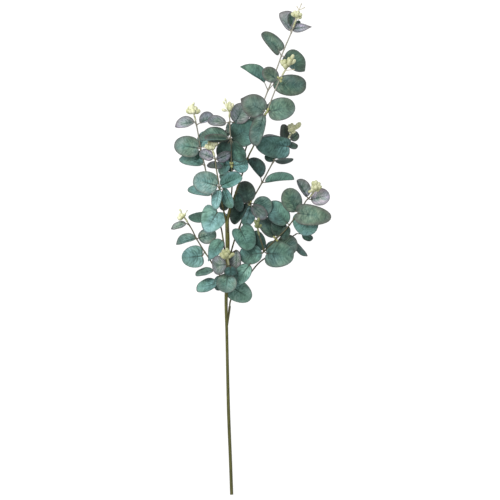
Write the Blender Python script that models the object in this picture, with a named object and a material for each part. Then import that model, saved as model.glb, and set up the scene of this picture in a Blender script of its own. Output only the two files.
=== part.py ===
"""A cut spray of round-leaved eucalyptus with pale gum-nut bud heads, lying on its lowest leaves.

The cut end of the main stem points to -Y and the tip to +Y. The leaves spread along X, and +Z is up.
Tables are in millimetres and degrees. Each leafy side stem pegs into a sleeve of the stem that carries it,
and each bud head is pushed over the wire tip of its side stem.
"""
import math
from collections import namedtuple

import bmesh
import bpy
from mathutils import Matrix, Vector

MM = 0.001
FIT_GAP = 0.3

# Stems, petioles and their joints
TRUNK_SIDES = 8
TWIG_SIDES = 5
PETIOLE_SIDES = 3
TWIG_FOOT_RADIUS = 1.15
TWIG_TIP_RADIUS = 0.9
KNUCKLE_SWELL = 1.3
PEG_RADIUS = 0.6
PEG_DEPTH = 4.0
SLEEVE_RADIUS = 1.7
TIP_WIRE_RADIUS = 0.4
TIP_WIRE_LENGTH = 2.6
PETIOLE_FOOT_RADIUS = 0.75
PETIOLE_TIP_RADIUS = 0.5
PETIOLE_IN_BLADE = 3.0

# Leaf blades
BLADE_THICKNESS = 0.7
BLADE_ROWS = 5
BLADE_COLUMNS = 2
BLADE_END_WIDTH = 0.7

# Gum-nut buds
BUD_SIDES = 5
HEAD_STALK_RADIUS = 1.35
BUD_FOOT_RADIUS = 0.6
PRONG_RADIUS = 0.55

# One leaf. It grows from point number `node` of its stem's route. (x, y) is the foot of the blade and lift
# its height above that point. Heading is the way the tip points, 0 to the right and 90 up the spray. Pitch
# raises the tip, roll raises the left half, fold closes the halves like a book, and curl bends the tip down.
# Egg is above 0 where the blade is widest near its tip, lobe is how far its ears reach back, and point is how
# far its tip is drawn out.
Leaf = namedtuple("Leaf", "node x y lift length width heading pitch roll fold curl egg lobe point",
                  defaults=(0, 0, 0, 8, 12, 0.0, 0, 0))

# One leafy side stem. Its route starts on the axis of the stem that carries it, `sleeve` is how far that
# stem's sleeve reaches along it, and nodes are the route's points where leaves grow. Side buds are given as
# (node, x, y, z of the tip from the node, radius).
Twig = namedtuple("Twig", "name carrier sleeve route leaves side_buds")

# The main stem's line and its radius at each point.
TRUNK_ROUTE = [
    (-26.4, -325.4, 2.25), (-27.9, -282, 4), (-30.4, -218, 10), (-31.6, -168, 16),
    (-32.8, -106, 25), (-33.6, -73, 30), (-33, -40, 35), (-31.8, -10, 40), (-31.7, 15, 44),
    (-32.2, 36, 47), (-30.8, 44.5, 49), (-29, 52, 51)]
TRUNK_RADII = [2.2, 2.2, 2.25, 2.1, 2, 2.2, 2.45, 2.75, 2.9, 2.6, 2.2, 1.9]

TWIGS = [
    Twig("spray_top", "main_stem", 7.0, [
        (-29, 52, 51), (-25.7, 62, 52.5), (-20.5, 76.6, 53.5), (-11.2, 103, 52), (-7.3, 116.2, 50),
        (-9.2, 125.4, 46), (-5.5, 139.9, 40), (5.9, 170.3, 30), (21.8, 211.6, 20), (33.7, 240.9, 17),
        (39.6, 257.4, 16.5), (52.8, 288.4, 17.5), (54.6, 293.2, 18.5), (56.3, 297.8, 20)], [
        Leaf(6, -3.5, 143, -2, 37.9, 27.7, 78, -8, 52),
        Leaf(2, -19.6, 75.5, -1, 25.6, 13, -79, -4, 0),
        Leaf(8, 17.2, 221.8, 0, 35.9, 29.7, 147, 8, 46, 40, 12, -0.15, 0, 3),
        Leaf(8, 28.5, 219.2, 0, 48, 29, 0, -22.5, 6, 14),
        Leaf(10, 36.8, 263.6, 0, 33.8, 29, 134, 8, 47, 12, 12, -0.15, 6),
        Leaf(10, 43.6, 257, 0, 30.7, 32.8, -36, -5, -34, 24, 8, 0, 3, 3),
        Leaf(11, 51.9, 291, -1, 28, 31, 122, -4, -40, -36, 12, 0.12),
        Leaf(11, 54, 293.4, -1.5, 22, 12, 6, 4, -8, 20, 12, -0.3, 0, 4),
        Leaf(12, 53.6, 297, -2, 17.5, 10, 98, 8, 20),
        Leaf(12, 58.4, 296.5, -2, 9.5, 6.5, 54, -5, 20)],
        [(6, 3.5, 2.5, 2, 1.3)]),
    Twig("spray_upper_right", "spray_top", 7.0, [
        (-7.3, 116.2, 50), (-2, 128, 56), (3.3, 138.6, 59), (16.5, 171.6, 64), (19.8, 180.8, 65),
        (31, 209.9, 68), (37.6, 224.4, 69), (39.5, 228, 69.4), (41.4, 231.5, 69.8)], [
        Leaf(4, 17.2, 182.2, 1, 31.8, 30.7, 152, -3, 6, 8, 12, 0, 2, 4),
        Leaf(4, 22.4, 181.2, 0, 36, 30, 14, 3, -6, 8, 12, 0, 3),
        Leaf(4, 16.5, 178, 2.5, 43, 27, -105, -5, 22, 40),
        Leaf(4, 21, 182.5, -1, 10.2, 7.2, 80, -20, 30),
        Leaf(6, 34.3, 223.5, 0, 23.6, 19.5, 145, 5, 8)],
        [(6, -4, 3.5, 1.5, 1.6), (6, 1.5, -4, 2, 1.7), (6, 3, 2.5, 2.5, 1.6), (4, 3, 6, 2, 1.7),
         (4, -3, -3.5, 2, 1.6), (4, 1, 0.5, 4, 1.7)]),
    Twig("spray_centre", "main_stem", 10.0, [
        (-31.8, 24, 45.2), (-31.8, 27, 52), (-31.2, 39, 57), (-29.5, 53, 58.5), (-27, 68, 59),
        (-25.7, 83, 59.5), (-25.7, 99, 61), (-26.3, 112.2, 64), (-26.8, 132, 70), (-27.3, 145.2, 73),
        (-28.4, 158.4, 75), (-28.4, 168.3, 77), (-28.7, 172.5, 77.7), (-28.9, 176, 78.5)], [
        Leaf(7, -27.5, 112, 0, 26.6, 24.6, 187, -50, 10),
        Leaf(7, -25, 110.9, 0, 21.5, 23.6, 8, -14, -12),
        Leaf(9, -31.4, 145.9, 0, 35.9, 31.5, 182, 2, 42, 40, 12, -0.1, 0, 2),
        Leaf(9, -30.5, 149.5, -2.5, 9.2, 7.2, 120, -10, 20),
        Leaf(9, -27.5, 147.5, -8, 46, 20, -91, -16, 0),
        Leaf(6, -28, 97, -5, 15, 14, 172, -16, 10),
        Leaf(11, -29.5, 167, -1.5, 14.3, 6.1, 262, -10, 0),
        Leaf(9, -29.8, 142.2, 0, 28.7, 20.5, -120, -30, 20),
        Leaf(9, -25.5, 142.6, 0, 30.7, 25.6, -62, -12, 35),
        Leaf(9, -25.2, 147, -12, 36.5, 37, 30, -8, 6, 6, 12, -0.1, 2),
        Leaf(11, -33.5, 166.8, 0, 24.4, 22.5, 174, 4, 50),
        Leaf(11, -21.5, 167.5, -14, 28, 26, 62, -3, 8),
        Leaf(9, -30, 146, 4, 32, 11, 177, 0, 0)],
        [(7, 0.5, -4, 2.5, 1.6), (7, -2, 3.5, 2, 1.5), (7, 2, 3, 2.5, 1.4)]),
    Twig("spray_left_centre", "main_stem", 11.0, [
        (-32.8, 36, 47), (-35.6, 47.5, 54), (-38.3, 58.1, 61), (-40.3, 67.3, 67), (-41.8, 79.2, 71),
        (-43.2, 88.4, 72), (-46.5, 108.2, 74), (-47.5, 118.8, 75), (-48.4, 122, 75.2), (-49.3, 125.5, 75)], [
        Leaf(4, -42.4, 79.5, -0.5, 26.5, 22.5, -99, 4, 54),
        Leaf(4, -36, 80.8, 0, 27.7, 22.5, -67, 5, 52),
        Leaf(4, -40.5, 84, 1, 30.7, 27.7, 24, 0, -14, 44),
        Leaf(4, -45, 84.5, 1, 32.8, 29.7, 165, 0, 4, 8, 12, 0, 3),
        Leaf(2, -37.4, 51.8, -2.4, 17.2, 14, 82, -13, 12),
        Leaf(7, -50.2, 120.6, -2, 19.5, 19, 158, 2, 40),
        Leaf(7, -46, 119, 1, 20.5, 18.4, 25, -5, 48),
        Leaf(7, -48.2, 116.5, -1, 22.5, 19.5, -95, -66, 0)], []),
    Twig("spray_left", "main_stem", 10.5, [
        (-32.3, -14, 39.5), (-34.6, -6, 34.8), (-36.8, 9, 33.5), (-39.6, 26.4, 33.5), (-41.6, 33, 33),
        (-45.5, 48.8, 32), (-52.1, 71.3, 26), (-58.1, 92.4, 21), (-62.2, 112.2, 17), (-67.3, 134.6, 16),
        (-70.6, 153.1, 17), (-72.9, 165.7, 18), (-73.8, 170, 18.5), (-74.7, 174, 19.2)], [
        Leaf(2, -38.8, 13, 2, 28.7, 24.6, -124, -5, 44, 8, 12, -0.2, 0, 5),
        Leaf(5, -45.2, 50, 4, 29.7, 34.8, -120, 4, 16, 10, 12, -0.25, 8, 2),
        Leaf(5, -50.8, 47.5, -4, 33.4, 23.5, 188, -6, -56),
        Leaf(6, -53.5, 74, 0, 31.8, 24.6, 169, 0, 58),
        Leaf(8, -65, 113.5, 0, 34, 26, 163, -22, 50),
        Leaf(9, -70.3, 135, 0, 32.8, 28, 172, 6, 8, 8, 12, 0, 3),
        Leaf(9, -68.5, 131.5, -1, 12.3, 12.3, -100, -30, 20),
        Leaf(11, -68.5, 168.5, 0, 21, 22, 20, 4, -38, 40),
        Leaf(11, -76, 170.6, 0, 24.6, 22.5, 196, 2, 47, 18, 12, 0, 0, 2),
        Leaf(9, -69, 136.5, -2, 23, 15, 66, -4, 0)], []),
    Twig("spray_lower_left", "main_stem", 11.0, [
        (-33.2, -50, 33.5), (-39, -38.3, 33), (-50.8, -19.8, 30), (-56.8, -9.9, 28), (-62, -2.6, 26),
        (-72.6, 14.5, 22), (-78.5, 26.4, 21), (-82.5, 33, 20), (-84.3, 36, 20.2), (-86, 38.8, 20.6)], [
        Leaf(1, -45, -44.2, 0, 29.7, 26.6, 196, -10, 52),
        Leaf(1, -42.5, -34, -2, 20, 13.3, -95, -6, 0),
        Leaf(2, -50.6, -26.8, -1, 24.6, 19.5, 195, 0, 60),
        Leaf(4, -65, -7.8, 0, 27.7, 29.3, 187, 2, 6, 8, 12, -0.1, 4),
        Leaf(5, -73.6, 15.2, 0, 25.6, 20.5, 197, 0, 42, 38, 12, 0, 0, 2),
        Leaf(5, -70.4, 15.8, 0, 24.6, 24.6, 18, 2, 36),
        Leaf(7, -86.8, 35.2, -1.5, 19.5, 19.5, 200, 0, 62, 8, 12, 0, 0, 2)], []),
    Twig("spray_front_low", "main_stem", 8.0, [
        (-32.8, -36, 35.5), (-31, -32, 44), (-30, -27, 54), (-29.8, -22, 62), (-30.2, -17.5, 67.5)], [
        Leaf(1, -31, -31, 5, 25.6, 26.6, -98, 4, 0),
        Leaf(1, -27, -22, 3, 22, 17, -84, 2, 0, 10),
        Leaf(3, -33, -19, 0, 23.6, 25, 186, -36, 0),
        Leaf(3, -27.8, -21.4, 1.5, 15, 17, -88, -32, 0)], []),
    Twig("spray_upper_middle", "main_stem", 12.0, [
        (-32.5, -20, 38.6), (-27.5, -4, 33.5), (-22.4, 13.2, 35), (-15.8, 30.4, 36), (-9.9, 47.5, 37),
        (-2, 62, 38), (5.9, 75.2, 38), (13.9, 89.1, 38), (27.7, 114.8, 37), (36.3, 129.4, 36),
        (44.9, 141.2, 36), (47, 144.5, 36.5), (49, 148, 37.2)], [
        Leaf(1, -20, 0, 0, 24.6, 20.5, -89, 5, 42, 12, 8, 0.2),
        Leaf(3, -15.2, 27.5, 4, 30.5, 33, -64, 2, -30, 10, 10, -0.05, 8),
        Leaf(5, -3.5, 62.5, 1, 29.7, 25.6, 108, 5, 10),
        Leaf(5, -9.2, 61, 2, 30.7, 27.7, -118, 5, 18, 44, 12, -0.1, 4),
        Leaf(5, -1.2, 58.5, 0, 27.7, 23.5, -106, -5, -42),
        Leaf(5, 2.3, 61.2, 0, 25.6, 27.7, -16, 0, 8),
        Leaf(5, 0.8, 58.4, 4, 25, 17, -41, 0, 0),
        Leaf(7, 12.3, 95.5, 0, 29.7, 30.7, 130, 2, 46, 40),
        Leaf(7, 18, 89.2, 0, 38.9, 22.5, 6, 2, -46, 40),
        Leaf(8, 29.8, 118, 0.4, 14.5, 15, 138, -22, 20),
        Leaf(8, 31, 118, 0, 24.6, 19.5, 5, 0, 70),
        Leaf(10, 49.5, 137, 1, 45.1, 34.8, 174, 6, -24, 24, 8, -0.15, 6),
        Leaf(10, 44, 142.5, -1, 30.7, 24.6, 165, -10, 70),
        Leaf(10, 43, 144, 0, 22.5, 20.5, 92, 2, 52),
        Leaf(10, 52, 146, -3, 14.3, 12.3, 42, -22, 20),
        Leaf(10, 48.8, 140.8, 0, 13.3, 12.3, -20, 0, 48)],
        [(5, 2, 3, 2, 1.4), (5, -2.5, -4, 2, 1.4)]),
    Twig("spray_right", "main_stem", 10.0, [
        (-33.3, -58, 32.5), (-15.2, -33, 30), (0.7, -15.8, 29), (16.5, -2, 29), (32.3, 14.5, 33),
        (42.9, 24.4, 35), (50.4, 33.4, 37), (65.3, 54.1, 41), (71.9, 64.7, 43), (75, 67.8, 43.7),
        (77, 70, 44.7), (79, 72.4, 46)], [
        Leaf(2, -2.3, -19.5, 12.5, 31.8, 21.5, -128, 4, 8, 16),
        Leaf(1, -19, -30.5, -5, 24.6, 22.5, 134, -4, 0),
        Leaf(3, 14, -4, 4, 30.7, 26.6, 188, 0, 8),
        Leaf(3, 15, 0, 0, 27.7, 24.6, 112, 6, -40),
        Leaf(3, 20, -4.5, 0, 36.6, 35.4, -4, -6, 0, 10, 12, -0.1, 6),
        Leaf(4, 30, 17, 0, 33.5, 27.7, 128, -5, 45),
        Leaf(4, 33.5, 18, -1, 24.6, 22.5, 80, -15, 20),
        Leaf(6, 49, 31, -1.5, 19, 13.5, -113, -8, 30),
        Leaf(6, 47.5, 35, 0, 36.9, 27.7, 131, -4, -6),
        Leaf(7, 59, 50.5, 0, 33.4, 27, 112, 8, 4),
        Leaf(7, 61, 48.4, 4, 44.6, 27.5, -7, 2, 5, 8, 12, -0.14, 8),
        Leaf(7, 68.5, 49.5, -4, 31.5, 34, -74, -6, 5, 8, 12, -0.05, 5),
        Leaf(9, 78.5, 66.5, -3, 25.6, 23.6, 14, 2, -18),
        Leaf(9, 73.3, 70.3, 0, 26, 20.5, 120, 2, 36, 34),
        Leaf(4, 33.5, 8.5, -11, 28, 28, -8, -3, 0)],
        [(7, 2.5, 4, 2, 1.4), (7, -2.5, -4, 2, 1.3), (4, -3.5, 4, 2, 1.6), (4, 2.5, -3, 2, 1.5)]),
    Twig("spray_lower_right", "main_stem", 28.0, [
        (-32.6, -102, 26), (-29.3, -79.2, 25), (-27.4, -66, 24), (-17.8, -50.2, 23), (-3.3, -33, 21),
        (7.3, -19.8, 19), (16.5, -11.9, 17), (37.6, 1.3, 14), (52.1, 15.8, 13), (60, 21.8, 13)], [
        Leaf(3, -25, -49.8, 3.7, 28.7, 28.7, -32, -2.5, 0, 10, 10, -0.15, 7),
        Leaf(8, 57.5, 9.5, 0, 22.5, 20.5, -47, 0, 66, 8, 12, 0, 0, 2),
        Leaf(9, 67.5, 21.2, 0, 15.4, 13.3, -26, 0, 44)], []),
    Twig("spray_front_right", "spray_right", 7.0, [
        (16.5, -2, 29), (15.8, 2, 41), (13.8, 8, 49), (11.5, 15, 54.5), (9.6, 21.5, 58)], [], []),
]

# One head of gum-nut buds: the side stem that it caps and the top of its stalk. Each bud is given by its tip
# from there and its radius, and each prong by its start and its end from there.
BudHead = namedtuple("BudHead", "name carrier x y z buds prongs")

BUD_HEADS = [
    BudHead("gum_nuts_top", "spray_top", 60.3, 308.7, 25, [
        (-7.5, 5.5, 1, 2.8), (-3.5, 8.5, 2, 2.8), (2, 8.5, 1, 2.7), (6.5, 4.5, 2, 2.8), (6.5, -0.5, 0.5, 2.3),
        (3, -2.5, 3, 2), (-0.5, 3.5, 6.5, 3)],
        [((0, 3, 1), (3, 10, 1.5)), ((2.7, 9, 1.5), (6, 18, 2)), ((2.7, 9, 1.5), (-0.5, 14.5, 1)),
         ((2.7, 9, 1.5), (10.5, 12.5, 3))]),
    BudHead("gum_nuts_upper_right", "spray_upper_right", 45.3, 237.7, 73, [
        (-6.5, 12, -1, 3), (-2, 13, 1.5, 3), (2.5, 10, 0, 2.8), (-1.5, 6.5, 4, 3.2), (4.5, 15.5, 2, 2.4),
        (10, 19, 2, 2.6), (12.5, 12.5, 1, 2.6), (6.5, 13, 4, 2.9)],
        [((-1, -2, 0), (11.5, -0.5, 1))]),
    BudHead("gum_nuts_centre", "spray_centre", -28.9, 182.2, 82, [
        (-4.5, 10, 1, 2.8), (0, 12.5, 2, 2.9), (4.5, 10.5, 0, 2.6), (1, 6.5, 5, 3), (2, 4, 2, 2.2),
        (-10.5, 2, 1, 2.1), (-8.5, 13, 1, 1.3), (-6, 16.8, 2, 1.4)], []),
    BudHead("gum_nuts_left_centre", "spray_left_centre", -51.5, 132, 73, [
        (-4.5, 11.5, 0, 3.3), (-0.5, 12.5, 1, 3), (-9.5, 6, 2, 3.5), (-3, 5.5, 4.5, 3.6), (3.5, 10.5, 2, 2.7),
        (7, 10.5, 3, 2), (2, 4.5, 4, 2.8)],
        [((-2, 1, 1), (-13, 3, 2.5)), ((2, 1.5, 0.5), (10.5, 9.5, 2))]),
    BudHead("gum_nuts_left", "spray_left", -76.9, 181.6, 22, [
        (-10, 4, 0, 3.6), (-6.5, 9.5, 1, 3.4), (-2, 11.5, 2.5, 3.4), (3.5, 9, 1, 3.3), (9, 4, 0, 3.4),
        (0, 4, 6, 3.3), (0, 15, 1, 1.6)], []),
    BudHead("gum_nuts_lower_left", "spray_lower_left", -89.8, 44.5, 22.3, [
        (-8.5, -2.5, 0, 3.8), (-6.5, 3.5, 0, 2.8), (-2, 1.5, 5, 2.6), (-5.5, 10, 1, 1.5), (1.5, 4.5, 1, 2.2)],
        [((0, 0, 0), (5, 8.5, 1))]),
    BudHead("gum_nuts_front_low", "spray_front_low", -31.5, -10, 74, [
        (-10.5, 5.5, 0, 3.4), (-8, 2, 2, 3), (-6.5, 10.5, 1, 3.2), (-1, 13, 0, 2.7), (2, 10.5, 1, 2.4),
        (-2, 6.5, 5, 3.3), (9, 6, 1, 2.5), (4.5, 3, 2, 2.5)], []),
    BudHead("gum_nuts_upper_middle", "spray_upper_middle", 53, 155.3, 41, [
        (-3.5, 11, 0, 3), (0.5, 12.5, 2, 2.8), (5, 10, 1, 3), (-0.5, 6, 5, 3), (5, 2.5, 1, 2.6),
        (12, 13, 2, 3.4), (-4, 4, 2, 2.3), (2.5, 0, 3, 2)], []),
    BudHead("gum_nuts_right", "spray_right", 83.5, 78.5, 52, [
        (-2.5, 12.5, 0, 2.8), (2, 13.5, 1.5, 2.9), (6.5, 11, 0, 3), (9, 6, 1, 2.9), (6, 1.5, 0, 2.5),
        (-4, 6.5, 0, 2.6), (2, 6, 5.5, 3.2), (-5.5, 1, 2, 2.2), (-9, -2, 1, 2)],
        [((0, 0, 0), (-7, -3, 2))]),
    BudHead("gum_nuts_front_right", "spray_front_right", 8, 29.5, 62, [
        (1.5, 13.5, 1, 2.1), (-3.5, 10.5, 0, 2.2), (5.5, 4, 1, 2), (-3.5, 3.5, 3, 2.1), (0, 7.5, 4, 2.4)],
        []),
]


def material(name, colour, roughness):
    """A plain surface finish."""
    made = bpy.data.materials.new(name)
    made.use_nodes = True
    shader = made.node_tree.nodes["Principled BSDF"]
    shader.inputs["Base Color"].default_value = (*colour, 1)
    shader.inputs["Roughness"].default_value = roughness
    shader.inputs["Metallic"].default_value = 0
    return made


class Route:
    """A smooth line through points given in millimetres, with an even frame carried along it."""

    STEPS = 12

    def __init__(self, points):
        ends = [Vector(p) for p in points]
        ends = [2 * ends[0] - ends[1], *ends, 2 * ends[-1] - ends[-2]]
        self.dots = [ends[1]]
        for before, start, end, after in zip(ends, ends[1:], ends[2:], ends[3:]):
            for step in range(1, self.STEPS + 1):
                t = step / self.STEPS
                self.dots.append(0.5 * (2 * start + t * (end - before)
                                        + t * t * (2 * before - 5 * start + 4 * end - after)
                                        + t ** 3 * (3 * start - before - 3 * end + after)))
        self.way = [0.0]
        for here, there in zip(self.dots, self.dots[1:]):
            self.way.append(self.way[-1] + (there - here).length)
        self.length = self.way[-1]
        self.node_way = self.way[::self.STEPS]
        self.frames = []
        across = None
        for k in range(len(self.dots)):
            along = self.dots[min(k + 1, len(self.dots) - 1)] - self.dots[max(k - 1, 0)]
            along.normalize()
            if across is None:
                across = along.orthogonal()
            across = (across - across.dot(along) * along).normalized()
            self.frames.append((across.copy(), along.cross(across)))

    def place(self, way):
        """The matrix at a distance along the line, its third axis pointing onwards."""
        k = 0
        while k < len(self.way) - 2 and self.way[k + 1] < way:
            k += 1
        t = (way - self.way[k]) / (self.way[k + 1] - self.way[k])
        spot = self.dots[k].lerp(self.dots[k + 1], t)
        first = self.frames[k][0].lerp(self.frames[k + 1][0], min(max(t, 0), 1)).normalized()
        onward = (self.dots[k + 1] - self.dots[k]).normalized()
        first = (first - first.dot(onward) * onward).normalized()
        second = onward.cross(first)
        made = Matrix((first, second, onward)).transposed().to_4x4()
        made.translation = spot
        return made


def new_object(name, bm):
    """The bmesh, made in millimetres, as an object in metres."""
    bmesh.ops.recalc_face_normals(bm, faces=bm.faces)
    bmesh.ops.scale(bm, vec=(MM, MM, MM), verts=bm.verts)
    mesh = bpy.data.meshes.new(name)
    bm.to_mesh(mesh)
    bm.free()
    made = bpy.data.objects.new(name, mesh)
    bpy.context.scene.collection.objects.link(made)
    return made


def turned(name, route, profile, sides):
    """A closed piece with a round section on a route. The profile lists (distance along, radius)."""
    bm = bmesh.new()
    way, radius = profile[0]
    place = route.place(way)
    bmesh.ops.create_circle(bm, segments=sides, radius=radius, matrix=place, cap_ends=True)
    edges = bm.edges[:]
    for next_way, next_radius in profile[1:]:
        grown = bmesh.ops.extrude_edge_only(bm, edges=edges)["geom"]
        edges = [e for e in grown if isinstance(e, bmesh.types.BMEdge)]
        next_place = route.place(next_way)
        move = next_place @ Matrix.Scale(next_radius / radius, 4) @ place.inverted()
        bmesh.ops.transform(bm, matrix=move, verts=[v for v in grown if isinstance(v, bmesh.types.BMVert)])
        place, radius = next_place, next_radius
    bmesh.ops.contextual_create(bm, geom=edges)
    return new_object(name, bm)


def leaf_axes(leaf):
    """The blade's directions: along to its tip, out to its left edge, and up out of its upper face."""
    turn = (Matrix.Rotation(math.radians(leaf.heading), 3, "Z")
            @ Matrix.Rotation(math.radians(-leaf.pitch), 3, "Y")
            @ Matrix.Rotation(math.radians(leaf.roll), 3, "X"))
    return turn.col[0], turn.col[1], turn.col[2]


def blade(name, leaf, foot):
    """A thin round blade, folded along its midrib and curled towards its tip."""
    along, left, up = leaf_axes(leaf)
    fold = math.radians(leaf.fold)
    curl = math.radians(max(leaf.curl, 0.1))
    bend = leaf.length / curl
    bm = bmesh.new()
    bmesh.ops.create_grid(bm, x_segments=BLADE_ROWS, y_segments=BLADE_COLUMNS, size=1)
    for vert in bm.verts:
        angle = (vert.co.x + 1) / 2 * math.pi
        side = vert.co.y
        part = (1 - math.cos(angle)) / 2
        full = math.sin(angle)
        half = leaf.width / 2 * full * (1 - leaf.egg * math.cos(angle)) + BLADE_END_WIDTH / 2
        reach = abs(side) * half
        lift = reach * math.sin(fold)
        back = leaf.lobe * abs(side) * full * (1 + math.cos(angle)) / 1.3
        drawn = leaf.point * (1 - full) ** 3 if part > 0.5 else 0
        turn = curl * (part - 0.5)
        level = bend * (math.sin(turn) + math.sin(curl / 2)) + lift * math.sin(turn) - back + drawn
        height = bend * (math.cos(turn) - math.cos(curl / 2)) + lift * math.cos(turn)
        vert.co = foot + level * along + math.copysign(reach * math.cos(fold), side) * left + height * up
    bmesh.ops.triangulate(bm, faces=bm.faces)
    bmesh.ops.solidify(bm, geom=bm.faces, thickness=BLADE_THICKNESS)
    return new_object(name, bm)


def leaf_pieces(name, leaf, route):
    """A leaf's blade and the short stalk that sinks into the stem and into the blade."""
    root = route.place(route.node_way[leaf.node]).translation
    foot = Vector((leaf.x, leaf.y, root.z + leaf.lift))
    inside = foot + leaf_axes(leaf)[0] * PETIOLE_IN_BLADE
    stalk = Route([root, foot, inside])
    profile = [(0, PETIOLE_FOOT_RADIUS), (stalk.node_way[1], PETIOLE_TIP_RADIUS),
               (stalk.length, PETIOLE_TIP_RADIUS / 2)]
    return [blade(name + "_blade", leaf, foot), turned(name + "_stalk", stalk, profile, PETIOLE_SIDES)]


def bore_radius(core):
    """The corner radius of a five-sided hole whose flats clear a core by the fit gap."""
    return (core + FIT_GAP) / math.cos(math.pi / TWIG_SIDES)


def sleeve(name, route, reach):
    """The sleeve on the stem below, with the blind hole that the side stem's peg sits in."""
    hole = bore_radius(PEG_RADIUS)
    profile = [(0, SLEEVE_RADIUS * 0.9), (reach * 0.6, SLEEVE_RADIUS * 0.95), (reach, SLEEVE_RADIUS),
               (reach, hole), (reach - PEG_DEPTH, hole)]
    return turned(name, route, profile, TWIG_SIDES)


def twig_profile(twig, route, capped):
    """Peg, shoulder, a swelling at each pair of leaves, and the wire tip that a bud head covers."""
    peg_start = twig.sleeve - PEG_DEPTH + FIT_GAP
    shoulder = twig.sleeve + FIT_GAP
    tip = route.node_way[len(twig.route) - 1]
    profile = [(peg_start, PEG_RADIUS), (shoulder, PEG_RADIUS)]

    def radius(way):
        return TWIG_FOOT_RADIUS + (TWIG_TIP_RADIUS - TWIG_FOOT_RADIUS) * way / tip

    profile.append((shoulder, radius(shoulder)))
    growing = {leaf.node for leaf in twig.leaves}
    for node, way in enumerate(route.node_way[1:len(twig.route) - 1], start=1):
        if shoulder + 3 < way < tip - TIP_WIRE_LENGTH - 1:
            profile.append((way, radius(way) * (KNUCKLE_SWELL if node in growing else 1)))
    if capped:
        profile.append((tip - TIP_WIRE_LENGTH, TWIG_TIP_RADIUS))
        profile.append((tip - TIP_WIRE_LENGTH, TIP_WIRE_RADIUS))
        profile.append((tip, TIP_WIRE_RADIUS))
    else:
        profile.append((tip, TWIG_TIP_RADIUS))
    return profile


def spray_route(twig, head):
    """The line of a side stem, carried on to the middle of the bud head at its tip."""
    return Route([*twig.route, (head.x, head.y, head.z)] if head else twig.route)


def trunk_profile(route):
    """The main stem, thickest below its fork."""
    return list(zip(route.node_way, TRUNK_RADII))


def bud(name, start, offset, radius):
    """A bud on a short foot, from start to its tip at an offset."""
    line = Route([start, start + offset / 2, start + offset])
    bulb = min(line.length, 3.8 * radius)
    foot = line.length - bulb
    shape = [(0, BUD_FOOT_RADIUS)]
    if foot > 1:
        shape.append((foot, BUD_FOOT_RADIUS))
    shape += [(foot + bulb * 0.6, radius), (line.length, radius * 0.45)]
    return turned(name, line, shape, BUD_SIDES)


def head_pieces(head, carrier, route):
    """A stalk with a socket over the wire tip, and the buds and prongs that stand out of its top."""
    tip_way = route.node_way[len(carrier.route) - 1]
    mouth_way = tip_way - TIP_WIRE_LENGTH + FIT_GAP
    hole = bore_radius(TIP_WIRE_RADIUS)
    profile = [(tip_way + FIT_GAP, hole), (mouth_way, hole), (mouth_way, HEAD_STALK_RADIUS),
               (tip_way + 1.3, HEAD_STALK_RADIUS), (route.length, HEAD_STALK_RADIUS * 0.8)]
    pieces = [turned(head.name + "_stalk", route, profile, TWIG_SIDES)]
    crown = Vector((head.x, head.y, head.z))
    inside = route.place(route.length - 0.7).translation
    for k, (x, y, z, radius) in enumerate(head.buds):
        pieces.append(bud(f"{head.name}_bud_{k}", inside, crown + Vector((x, y, z)) - inside, radius))
    for k, (start, end) in enumerate(head.prongs):
        start, end = crown + Vector(start), crown + Vector(end)
        line = Route([start, start.lerp(end, 0.5), end])
        shape = [(0, PRONG_RADIUS), (line.length, PRONG_RADIUS * 1.3)]
        pieces.append(turned(f"{head.name}_prong_{k}", line, shape, PETIOLE_SIDES))
    return pieces


def fused(name, pieces, finish):
    """The pieces joined into one closed body."""
    repeats = bpy.data.collections.new(name + "_repeats")
    for piece in pieces[1:]:
        repeats.objects.link(piece)
    body = pieces[0]
    if len(pieces) > 1:
        join = body.modifiers.new("join", "BOOLEAN")
        join.operation = "UNION"
        join.operand_type = "COLLECTION"
        join.collection = repeats
        join.solver = "MANIFOLD"
        bpy.context.view_layer.update()
        whole = bpy.data.meshes.new_from_object(body.evaluated_get(bpy.context.evaluated_depsgraph_get()))
        body.modifiers.remove(join)
        body.data = whole
    for piece in pieces[1:]:
        bpy.data.objects.remove(piece)
    bpy.data.collections.remove(repeats)
    body.name = name
    body.data.name = name
    body.data.materials.clear()
    body.data.materials.append(finish)
    return body


def main():
    for old in list(bpy.data.objects):
        bpy.data.objects.remove(old)
    bark = material("olive_stem", (0.13, 0.12, 0.04), 0.55)
    leaf_green = material("blue_green_leaf", (0.09, 0.22, 0.19), 0.5)
    bud_green = material("pale_bud", (0.6, 0.6, 0.32), 0.5)
    heads = {head.carrier: head for head in BUD_HEADS}
    routes = {twig.name: spray_route(twig, heads.get(twig.name)) for twig in TWIGS}
    trunk_route = Route(TRUNK_ROUTE)
    trunk = [turned("trunk", trunk_route, trunk_profile(trunk_route), TRUNK_SIDES)]
    for twig in TWIGS:
        if twig.carrier == "main_stem":
            trunk.append(sleeve(twig.name + "_sleeve", routes[twig.name], twig.sleeve))
    fused("main_stem", trunk, bark)
    for twig in TWIGS:
        route = routes[twig.name]
        profile = twig_profile(twig, route, twig.name in heads)
        pieces = [turned(twig.name + "_stem", route, profile, TWIG_SIDES)]
        for k, leaf in enumerate(twig.leaves):
            pieces += leaf_pieces(f"{twig.name}_leaf_{k}", leaf, route)
        for k, (node, x, y, z, radius) in enumerate(twig.side_buds):
            root = route.place(route.node_way[node]).translation
            pieces.append(bud(f"{twig.name}_side_bud_{k}", root, Vector((x, y, z)), radius))
        for other in TWIGS:
            if other.carrier == twig.name:
                pieces.append(sleeve(other.name + "_sleeve", routes[other.name], other.sleeve))
        fused(twig.name, pieces, leaf_green)
        if twig.name in heads:
            head = heads[twig.name]
            fused(head.name, head_pieces(head, twig, route), bud_green)


main()
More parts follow.
